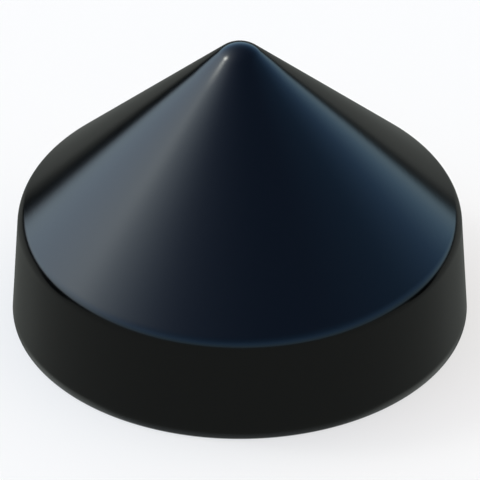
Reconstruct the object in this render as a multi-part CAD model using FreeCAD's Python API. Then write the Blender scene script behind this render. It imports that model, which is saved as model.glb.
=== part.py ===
# Conical cap for the head of a round dock pile, moulded in one piece from black polyethylene.
# It is a solid of revolution about +Z: a drafted skirt, a rounded shoulder, a cone and a rounded
# tip, all in one wall of even thickness. It is open underneath, where the pile's head goes in.
# The origin is the centre of the mouth, in the plane that the rim rests on. Units are millimetres.

import FreeCAD
import Part

import math
import os

# Driving dimensions
PILE_DIAMETER = 304.8
PILE_CLEARANCE = 0.6  # on the radius, where the socket is narrowest, under the shoulder
WALL = 3.175
SKIRT_HEIGHT = 79.4  # outside, from the rim to the sharp corner under the shoulder's round
SKIRT_DRAFT = 2.6  # degrees that the skirt leans in from the vertical
CONE_SLOPE = 45.0  # degrees above the horizontal
SHOULDER_RADIUS = 16.5  # outside
TIP_RADIUS = 22.2  # outside
RIM_ROUND = 2.0  # outside
MOUTH_CHAMFER = 0.5  # inside, along each of the two faces that it cuts


def point(radius, height):
    """A point of the section, which is drawn in the XZ plane."""
    return FreeCAD.Vector(radius, 0.0, height)


def direction(angle):
    """The unit vector that points at this many degrees above the horizontal, away from the axis."""
    return point(math.cos(math.radians(angle)), math.sin(math.radians(angle)))


def corner_shift(normal_a, normal_b, depth):
    """How far a corner moves when the two faces that meet there both move out by the depth."""
    return (normal_a + normal_b) * (depth / (1.0 + normal_a.dot(normal_b)))


def arc(centre, radius, normal_a, normal_b):
    """The arc about the centre that turns from one face's normal to the other's."""
    middle = (normal_a + normal_b).normalize()
    return Part.Arc(
        centre + normal_a * radius,
        centre + middle * radius,
        centre + normal_b * radius,
    ).toShape()


def section():
    """The closed outline of the wall, on one side of the axis."""
    down = direction(-90.0)
    up = direction(90.0)
    skirt = direction(SKIRT_DRAFT)
    cone = direction(90.0 - CONE_SLOPE)

    # Sharp corners of the outer face, and of the mouth. The pile's head sets the shoulder's radius.
    socket_radius = PILE_DIAMETER / 2 + PILE_CLEARANCE
    shoulder_corner = point(socket_radius + corner_shift(skirt, cone, WALL).x, SKIRT_HEIGHT)
    rim_corner = point(shoulder_corner.x + SKIRT_HEIGHT * skirt.z / skirt.x, 0.0)
    mouth_corner = rim_corner - point(WALL / skirt.x, 0.0)
    apex = point(0.0, SKIRT_HEIGHT + shoulder_corner.x * cone.x / cone.z)

    # Centres of the rounds. The wall's two faces turn about the same centre, so it stays even.
    rim = rim_corner - corner_shift(down, skirt, RIM_ROUND)
    shoulder = shoulder_corner - corner_shift(skirt, cone, SHOULDER_RADIUS)
    tip = apex - up * (TIP_RADIUS / cone.z)

    # The chamfer leads the pile in, from the rim's flat ring to the socket's leaning wall.
    up_the_wall = direction(90.0 + SKIRT_DRAFT)
    lead_in = Part.makeLine(
        mouth_corner + up_the_wall * MOUTH_CHAMFER,
        mouth_corner + point(MOUTH_CHAMFER, 0.0),
    )

    turns = [
        arc(rim, RIM_ROUND, down, skirt),
        arc(shoulder, SHOULDER_RADIUS, skirt, cone),
        arc(tip, TIP_RADIUS, cone, up),
        arc(tip, TIP_RADIUS - WALL, up, cone),
        arc(shoulder, SHOULDER_RADIUS - WALL, cone, skirt),
        lead_in,
    ]
    return joined(turns)


def joined(turns):
    """The turns in order, with a straight stretch from the end of each to the start of the next."""
    edges = []
    for this, following in zip(turns, turns[1:] + turns[:1]):
        end = this.valueAt(this.LastParameter)
        start = following.valueAt(following.FirstParameter)
        edges.append(this)
        edges.append(Part.makeLine(end, start))
    return Part.Wire(edges)


def pile_cap():
    """The moulded wall, as the section turned once round the axis."""
    axis_foot = FreeCAD.Vector(0.0, 0.0, 0.0)
    axis = FreeCAD.Vector(0.0, 0.0, 1.0)
    return Part.Face(section()).revolve(axis_foot, axis, 360.0)


os.makedirs("parts", exist_ok=True)
cap = pile_cap()
cap.exportStep("parts/pile_cap.step")
print("valid", cap.isValid(), "volume", round(cap.Volume), "height", round(cap.BoundBox.ZMax, 2))
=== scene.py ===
import math

import bpy
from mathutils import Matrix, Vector


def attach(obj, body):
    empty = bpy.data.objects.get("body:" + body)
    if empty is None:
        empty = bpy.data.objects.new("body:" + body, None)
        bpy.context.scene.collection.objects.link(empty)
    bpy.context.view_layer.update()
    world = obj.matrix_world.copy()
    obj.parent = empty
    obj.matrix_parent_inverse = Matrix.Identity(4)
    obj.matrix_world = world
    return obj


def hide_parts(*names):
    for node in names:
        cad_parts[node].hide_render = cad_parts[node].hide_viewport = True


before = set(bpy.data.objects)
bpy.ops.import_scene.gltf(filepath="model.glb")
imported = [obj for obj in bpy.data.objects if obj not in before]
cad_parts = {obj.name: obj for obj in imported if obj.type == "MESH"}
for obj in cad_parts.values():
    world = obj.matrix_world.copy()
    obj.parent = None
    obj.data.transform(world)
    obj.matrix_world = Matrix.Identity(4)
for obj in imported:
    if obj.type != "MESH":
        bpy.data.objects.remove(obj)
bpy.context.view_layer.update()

# A pile cap of black polyethylene, moulded in one piece: a drafted skirt, a rounded shoulder, a cone
# and a rounded tip. Its section is drawn more finely than the frame has it and turned about the
# vertical axis. Lengths are in metres and angles in radians. A tuple that is called a span holds two
# values, and then what they turn into, with a smooth change between them.

# The section, which stands exactly where the frame's solid does
SOCKET_RADIUS = 0.1530  # where the socket is narrowest, under the shoulder
WALL = 0.003175
SKIRT_HEIGHT = 0.0794  # outside, from the rim to the sharp corner under the shoulder's round
SKIRT_DRAFT = math.radians(2.6)  # how far the skirt leans in
CONE_SLOPE = math.radians(45.0)  # above the horizontal
SHOULDER_RADIUS = 0.0165  # outside
TIP_RADIUS = 0.0222  # outside
RIM_ROUND = 0.0020  # outside
MOUTH_CHAMFER = 0.0005  # inside, along each of the two faces that it cuts

# The sheen doesn't break where a round ends: the straight face beside it shades as if it leaned on
# by this tilt, and the lean dies away over the run-out.
TIP_TILT = math.radians(3.6)
TIP_RUNOUT = 0.024
SHOULDER_TILT = math.radians(0.8)
SHOULDER_RUNOUT = 0.10
FOOT_TILT = math.radians(24.0)
FOOT_RUNOUT = 0.0080

# How finely the section is turned and cut
TURN_STEPS = 256
ROUND_STEP = math.radians(3.0)

# The plastic: faintly cloudy in its gloss, with orange peel, and its colour painted paler at the foot
# as a highlight
CLOUD_SCALE = 14.0
CLOUDY_ROUGHNESS = (0.3, 0.7, 0.13, 0.15)  # span
PEEL_SCALE = 260.0
PEEL_STRENGTH = 0.04
PEEL_DEPTH = 0.0004
REFRACTIVE_INDEX = 1.5
# Painted highlight: the base colour is paler over the foot's lowest few millimetres and stands in for
# the light band of sheen along its edge
PAINTED_FOOT_HIGHLIGHT = (0.001, 0.0060, 0.022, 0.001)  # span, by the height above the rim

# Camera: a parallel view from the height that sees three faces of a cube alike
VIEW_ELEVATION = math.asin(1 / math.sqrt(3))
VIEW_WIDTH = 0.3374
VIEW_CENTRE = Vector((0.00014, 0.0, 0.0594))
VIEW_DISTANCE = 3.0

# Floor: where it is seen, plain white takes the place of this share of its shading
FLOOR_SIZE = 40.0
FLOOR_COLOUR = (0.93, 0.93, 0.92, 1.0)
FLOOR_WHITENESS = 0.6

# Room: soft light from all round, dim overhead and brighter low down. It depends on the direction
# alone, and a height is the sine of the angle above the horizon.
ROOM_UP = Vector((0.036, 0.0, 1.0))  # the horizon leans a little
FRONT_DROP = (-0.95, -0.10, 0.11, 0.0)  # span: how much lower the horizon is towards the front
LOW_FRONT = (0.0, 0.55, 0.40, 0.0)  # span: how much dimmer the low part is towards the front
LOW_HEIGHTS = (0.12, 0.36, 1.0, 0.0)  # span: how far each height counts as low
ROOM_COLOURS = (  # height, colour
    (0.00, (0.02, 0.02, 0.02, 1.0)),
    (0.07, (0.72, 1.05, 1.27, 1.0)),
    (0.17, (0.48, 0.84, 1.22, 1.0)),
    (0.33, (0.23, 0.47, 0.85, 1.0)),
    (0.55, (0.115, 0.25, 0.48, 1.0)),
    (0.80, (0.085, 0.155, 0.31, 1.0)),
)
LEFT_WINDOW = Vector((-0.84, 0.21, 0.50)).normalized()
GLOWS = (  # colour, where from, sharpness
    ((0.31, 0.38, 0.53, 1.0), LEFT_WINDOW, 2.0),
    ((1.58, 1.70, 1.64, 1.0), LEFT_WINDOW, 8.0),
    ((0.24, 0.18, 0.13, 1.0), Vector((-0.72, 0.66, 0.20)).normalized(), 40.0),
    ((15.0, 15.0, 13.8, 1.0), Vector((-0.712, 0.190, 0.676)).normalized(), 165.0),
    ((0.17, 0.24, 0.27, 1.0), Vector((-0.15, 1.0, 0.12)).normalized(), 12.0),
)

# Ground, under the horizon: even, but for what follows
GROUND_COLOUR = (0.198, 0.212, 0.200, 1.0)
# A dark skirting along the horizon
SKIRTING_SHADES = ((0.06, (1.0, 1.0, 1.0, 1.0)), (0.15, (0.0, 0.0, 0.0, 1.0)))  # depth, darkness
SKIRTING_SCALE = (-0.5, 0.5, 0.77, 1.35)  # span, from left to right, by which its depths are read
SKIRTING_FADE = (-0.5, 0.5, 1.0, 0.75)  # span, from left to right, of its darkness
SKIRTING_BACK = (-0.40, -0.05, 0.0, 1.0)  # span, from front to back, of its darkness
# A dark corner on either side, whose edge is a span by the cosine of the angle from its middle
DARK_CORNERS = (
    Vector((0.975, 0.17, -0.045)).normalized(),
    Vector((-0.965, 0.20, -0.045)).normalized(),
)
DARK_CORNER_EDGE = (0.965, 0.985, 1.0, 0.0)
# A dim patch straight ahead of the camera, which is such a span too
FAR_DIRECTION = Vector((0.0, math.cos(VIEW_ELEVATION), -math.sin(VIEW_ELEVATION)))
FAR_DIMMING = (0.74, 1.0, 1.0, 0.69)
# A lighter patch straight underfoot
UNDERFOOT_GAIN = 1.8
UNDERFOOT_SHARPNESS = 8.5
# A lighter stretch from there to the back: two spans, the first of them by how steeply it lies below
BEYOND_GAIN = (0.59, 0.68, 0.0, 1.0)
BEYOND_BACK = (-0.25, 0.05, 0.0, 1.0)

# Fill: a very wide warm lamp overhead
FILL_COLOUR = (1.0, 0.75, 0.40)
FILL_DIRECTION = Vector((0.45, 0.25, 0.86)).normalized()
FILL_STRENGTH = 1.8
FILL_SPREAD = math.radians(110.0)


def point(radius, height):
    """A point of the section, in the XZ plane."""
    return Vector((radius, 0.0, height))


def direction(angle):
    """The unit vector that points at this angle above the horizontal, away from the axis."""
    return point(math.cos(angle), math.sin(angle))


def corner_shift(angle_a, angle_b, depth):
    """How far a corner moves when the two faces that meet there both move out by the depth."""
    normal_a, normal_b = direction(angle_a), direction(angle_b)
    return (normal_a + normal_b) * (depth / (1.0 + normal_a.dot(normal_b)))


def arc(centre, radius, start, end, hollow=False):
    """An arc as (place, facing) pairs, where facing is the angle of the surface's normal."""
    steps = math.ceil(abs(end - start) / ROUND_STEP)
    angles = [start + (end - start) * step / steps for step in range(steps + 1)]
    flip = math.pi if hollow else 0.0
    return [(centre + direction(angle) * radius, angle + flip) for angle in angles]


def underturned(place, facing):
    """The same place on the skirt's foot, with its facing leaning under as the foot's sheen does."""
    lean = FOOT_TILT * (1.0 - place.z / FOOT_RUNOUT)
    return place, min(facing, SKIRT_DRAFT - lean)


def run_out(corner, far_corner, length, facing, tilt):
    """The end of a straight face beside a round: its first two places, with the sheen's last turn."""
    along = (far_corner - corner).normalized()
    return [(corner, facing + tilt), (corner + along * length, facing)]


def section():
    """The outline as three runs of (place, facing): up the outside, down the inside, and the mouth."""
    up, down = math.pi / 2, -math.pi / 2
    skirt, cone = SKIRT_DRAFT, up - CONE_SLOPE
    inner_skirt, inner_rim = skirt + math.pi, down + 2 * math.pi

    shoulder_corner = point(SOCKET_RADIUS + corner_shift(skirt, cone, WALL).x, SKIRT_HEIGHT)
    rim_corner = point(shoulder_corner.x + SKIRT_HEIGHT * math.tan(skirt), 0.0)
    mouth_corner = rim_corner - point(WALL / math.cos(skirt), 0.0)
    apex = point(0.0, SKIRT_HEIGHT + shoulder_corner.x * math.tan(CONE_SLOPE))

    # The wall's two faces turn about the same centres, so it stays even
    rim = rim_corner - corner_shift(down, skirt, RIM_ROUND)
    shoulder = shoulder_corner - corner_shift(skirt, cone, SHOULDER_RADIUS)
    tip = apex - point(0.0, TIP_RADIUS / math.sin(cone))
    chamfer_top = mouth_corner + direction(up + skirt) * MOUTH_CHAMFER
    chamfer_foot = mouth_corner + point(MOUTH_CHAMFER, 0.0)
    chamfer_facing = (inner_skirt + inner_rim) / 2

    rim_arc = arc(rim, RIM_ROUND, down, skirt)
    shoulder_arc = arc(shoulder, SHOULDER_RADIUS, skirt, cone)
    tip_arc = arc(tip, TIP_RADIUS, cone, up)
    foot = rim_corner + direction(up + skirt) * (FOOT_RUNOUT / math.cos(skirt))
    cone_foot, cone_top = shoulder_arc[-1][0], tip_arc[0][0]
    outside = [
        (chamfer_foot, down),
        *[underturned(place, facing) for place, facing in rim_arc],
        (foot, skirt),
        *[(place, min(facing, cone - SHOULDER_TILT)) for place, facing in shoulder_arc[:-1]],
        *run_out(cone_foot, apex, SHOULDER_RUNOUT, cone, -SHOULDER_TILT),
        *reversed(run_out(cone_top, shoulder_corner, TIP_RUNOUT, cone, TIP_TILT)),
        *[(place, max(facing, cone + TIP_TILT)) for place, facing in tip_arc[1:]],
    ]
    inside = [
        *arc(tip, TIP_RADIUS - WALL, up, cone, hollow=True),
        *arc(shoulder, SHOULDER_RADIUS - WALL, cone, skirt, hollow=True),
        (chamfer_top, inner_skirt),
    ]
    mouth = [(chamfer_top, chamfer_facing), (chamfer_foot, chamfer_facing)]
    return outside, inside, mouth


def turned_section(name, runs):
    """The runs turned round the axis as one closed mesh, which shades by the facings of its corners."""
    places, rings, faces, normals = [], {}, [], []

    def ring(place):
        """The vertices of one turn of a place, or the one vertex of a place on the axis."""
        key = (round(place.x, 7), round(place.z, 7))
        if key not in rings:
            count = TURN_STEPS if key[0] else 1
            first = len(places)
            for step in range(count):
                angle = 2 * math.pi * step / TURN_STEPS
                places.append((place.x * math.cos(angle), place.x * math.sin(angle), place.z))
            rings[key] = [first + step % count for step in range(TURN_STEPS + 1)]
        return rings[key]

    def normal(facing, step):
        angle = 2 * math.pi * step / TURN_STEPS
        out = math.cos(facing)
        return out * math.cos(angle), out * math.sin(angle), math.sin(facing)

    for run in runs:
        for (place, facing), (next_place, next_facing) in zip(run, run[1:]):
            low, high = ring(place), ring(next_place)
            for step in range(TURN_STEPS):
                corners = [(low[step], facing, step), (low[step + 1], facing, step + 1)]
                corners += [(high[step + 1], next_facing, step + 1), (high[step], next_facing, step)]
                if low[step] == low[step + 1]:
                    del corners[1]
                if high[step] == high[step + 1]:
                    del corners[2]
                faces.append([vertex for vertex, _, _ in corners])
                normals.extend(normal(turned, at) for _, turned, at in corners)

    mesh = bpy.data.meshes.new(name)
    mesh.from_pydata(places, [], faces)
    mesh.shade_smooth()
    mesh.normals_split_custom_set(normals)
    made = bpy.data.objects.new(name, mesh)
    bpy.context.collection.objects.link(made)
    return made


class Nodes:
    """A short way to write a node tree: each call adds one node and links or sets its inputs."""

    def __init__(self, tree):
        self.tree = tree
        tree.nodes.clear()

    def add(self, kind, inputs=None, **settings):
        node = self.tree.nodes.new("ShaderNode" + kind)
        for setting, value in settings.items():
            setattr(node, setting, value)
        for socket, value in (inputs or {}).items():
            if isinstance(value, bpy.types.NodeSocket):
                self.tree.links.new(value, node.inputs[socket])
            else:
                node.inputs[socket].default_value = value
        return node

    def maths(self, operation, first, second):
        return self.add("Math", {0: first, 1: second}, operation=operation).outputs["Value"]

    def span(self, value, from_low, from_high, to_low, to_high):
        """The value carried smoothly from one range to another, and held at its ends."""
        ends = {"From Min": from_low, "From Max": from_high, "To Min": to_low, "To Max": to_high}
        node = self.add("MapRange", {"Value": value, **ends}, interpolation_type="SMOOTHSTEP")
        return node.outputs["Result"]

    def dot(self, vector, other):
        return self.add("VectorMath", {0: vector, 1: other}, operation="DOT_PRODUCT").outputs["Value"]

    def glow(self, towards, middle, sharpness):
        """1 in the middle direction, fading round it, and 0 from a right angle on."""
        facing = self.maths("MAXIMUM", self.dot(towards, middle), 0.0)
        return self.maths("POWER", facing, sharpness)

    def light(self, colour, strength):
        return self.add("Background", {"Color": colour, "Strength": strength}).outputs["Background"]

    def ramp(self, factor, stops):
        node = self.add("ValToRGB", {"Fac": factor})
        elements = node.color_ramp.elements
        while len(elements) < len(stops):
            elements.new(1.0)
        for element, (position, colour) in zip(elements, stops):
            element.position = position
            element.color = colour
        return node.outputs["Color"]


def black_polyethylene():
    """Glossy moulded black plastic, with a trace of orange peel and of cloudiness in its gloss, and a
    painted highlight along the foot.
    """
    material = bpy.data.materials.new("black_polyethylene")
    material.use_nodes = True
    nodes = Nodes(material.node_tree)
    place = nodes.add("TexCoord").outputs["Object"]

    cloud = nodes.add("TexNoise", {"Vector": place, "Scale": CLOUD_SCALE, "Detail": 3.0})
    roughness = nodes.span(cloud.outputs["Fac"], *CLOUDY_ROUGHNESS)
    peel = nodes.add("TexNoise", {"Vector": place, "Scale": PEEL_SCALE, "Detail": 1.0})
    bump = nodes.add(
        "Bump",
        {"Height": peel.outputs["Fac"], "Strength": PEEL_STRENGTH, "Distance": PEEL_DEPTH},
    )
    height = nodes.add("SeparateXYZ", {0: place}).outputs["Z"]
    shader = nodes.add(
        "BsdfPrincipled",
        {
            # Painted highlight: the colour turns paler near the rim
            "Base Color": nodes.span(height, *PAINTED_FOOT_HIGHLIGHT),
            "Roughness": roughness,
            "IOR": REFRACTIVE_INDEX,
            "Normal": bump.outputs["Normal"],
        },
    )
    nodes.add("OutputMaterial", {"Surface": shader.outputs["BSDF"]})
    return material


def cap():
    """The moulded wall, in place of the frame's own mesh of it."""
    piece = turned_section("cap", section())
    piece.data.materials.append(black_polyethylene())
    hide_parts("pile_cap")
    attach(piece, "root")


def floor():
    """A plain pale floor, large enough to fill the picture from any side, which keeps the shadow."""
    material = bpy.data.materials.new("floor")
    material.use_nodes = True
    nodes = Nodes(material.node_tree)
    shaded = nodes.add("BsdfDiffuse", {"Color": FLOOR_COLOUR}).outputs["BSDF"]
    white = nodes.add("Emission", {"Strength": 1.0}).outputs["Emission"]
    ray = nodes.add("LightPath").outputs
    seen = nodes.maths("MAXIMUM", ray["Is Camera Ray"], ray["Is Glossy Ray"])
    seen = nodes.maths("MAXIMUM", seen, ray["Is Transmission Ray"])
    share = nodes.maths("MULTIPLY", seen, FLOOR_WHITENESS)
    both = nodes.add("MixShader", {0: share, 1: shaded, 2: white}).outputs["Shader"]
    nodes.add("OutputMaterial", {"Surface": both})

    half = FLOOR_SIZE / 2
    corners = [(-half, -half, 0.0), (half, -half, 0.0), (half, half, 0.0), (-half, half, 0.0)]
    mesh = bpy.data.meshes.new("floor")
    mesh.from_pydata(corners, [], [(0, 1, 2, 3)])
    mesh.materials.append(material)
    made = bpy.data.objects.new("floor", mesh)
    bpy.context.collection.objects.link(made)
    # The cap's gloss mirrors the room's grey ground instead, as it does in the photograph
    made.visible_glossy = False


def room():
    """The soft light that comes from all round, by its direction."""
    world = bpy.data.worlds.new("room")
    world.use_nodes = True
    nodes = Nodes(world.node_tree)
    towards = nodes.add("TexCoord").outputs["Generated"]
    across = nodes.dot(towards, (1.0, 0.0, 0.0))
    back = nodes.dot(towards, (0.0, 1.0, 0.0))
    below = nodes.dot(towards, (0.0, 0.0, -1.0))
    height = nodes.maths("ADD", nodes.dot(towards, ROOM_UP), nodes.span(back, *FRONT_DROP))
    depth = nodes.maths("MULTIPLY", height, -1.0)

    skirting = nodes.maths("MULTIPLY", depth, nodes.span(across, *SKIRTING_SCALE))
    skirting = nodes.ramp(skirting, SKIRTING_SHADES)
    skirting = nodes.maths("MULTIPLY", skirting, nodes.span(across, *SKIRTING_FADE))
    skirting = nodes.maths("MULTIPLY", skirting, nodes.span(back, *SKIRTING_BACK))
    lit = nodes.maths("SUBTRACT", 1.0, skirting)
    for middle in DARK_CORNERS:
        edge = nodes.span(nodes.dot(towards, middle), *DARK_CORNER_EDGE)
        lit = nodes.maths("MULTIPLY", lit, edge)
    far = nodes.span(nodes.dot(towards, FAR_DIRECTION), *FAR_DIMMING)
    underfoot = nodes.glow(towards, (0.0, 0.0, -1.0), UNDERFOOT_SHARPNESS)
    underfoot = nodes.maths("ADD", nodes.maths("MULTIPLY", underfoot, UNDERFOOT_GAIN), 1.0)
    beyond = nodes.span(below, *BEYOND_GAIN)
    beyond = nodes.maths("MULTIPLY", beyond, nodes.span(back, *BEYOND_BACK))
    beyond = nodes.maths("ADD", beyond, 1.0)
    strength = nodes.maths("MULTIPLY", lit, far)
    for gain in (underfoot, beyond):
        strength = nodes.maths("MULTIPLY", strength, gain)
    ground = nodes.light(GROUND_COLOUR, strength)

    dim = nodes.maths("MULTIPLY", nodes.span(back, *LOW_FRONT), nodes.span(height, *LOW_HEIGHTS))
    above = nodes.light(nodes.ramp(height, ROOM_COLOURS), nodes.maths("SUBTRACT", 1.0, dim))
    for colour, middle, sharpness in GLOWS:
        glow = nodes.light(colour, nodes.glow(towards, middle, sharpness))
        above = nodes.add("AddShader", {0: above, 1: glow}).outputs["Shader"]
    is_above = nodes.maths("GREATER_THAN", height, 0.0)
    both = nodes.add("MixShader", {0: is_above, 1: ground, 2: above}).outputs["Shader"]
    nodes.add("OutputWorld", {"Surface": both})
    bpy.context.scene.world = world


def fill_lamp():
    """The fill, which balances the cool room and softens the shadow."""
    lamp = bpy.data.lights.new("fill", "SUN")
    lamp.color = FILL_COLOUR
    lamp.energy = FILL_STRENGTH
    lamp.angle = FILL_SPREAD
    made = bpy.data.objects.new("fill", lamp)
    made.rotation_euler = FILL_DIRECTION.to_track_quat("Z", "Y").to_euler()
    made.visible_glossy = False
    bpy.context.collection.objects.link(made)


def camera():
    """A parallel view from the front, looking down at the photograph's angle."""
    data = bpy.data.cameras.new("camera")
    data.type = "ORTHO"
    data.ortho_scale = VIEW_WIDTH
    made = bpy.data.objects.new("camera", data)
    back = Vector((0.0, -math.cos(VIEW_ELEVATION), math.sin(VIEW_ELEVATION)))
    made.location = VIEW_CENTRE + back * VIEW_DISTANCE
    made.rotation_euler = back.to_track_quat("Z", "Y").to_euler()
    bpy.context.collection.objects.link(made)
    bpy.context.scene.camera = made


cap()
floor()
room()
fill_lamp()
camera()
bpy.context.scene.view_settings.view_transform = "Standard"
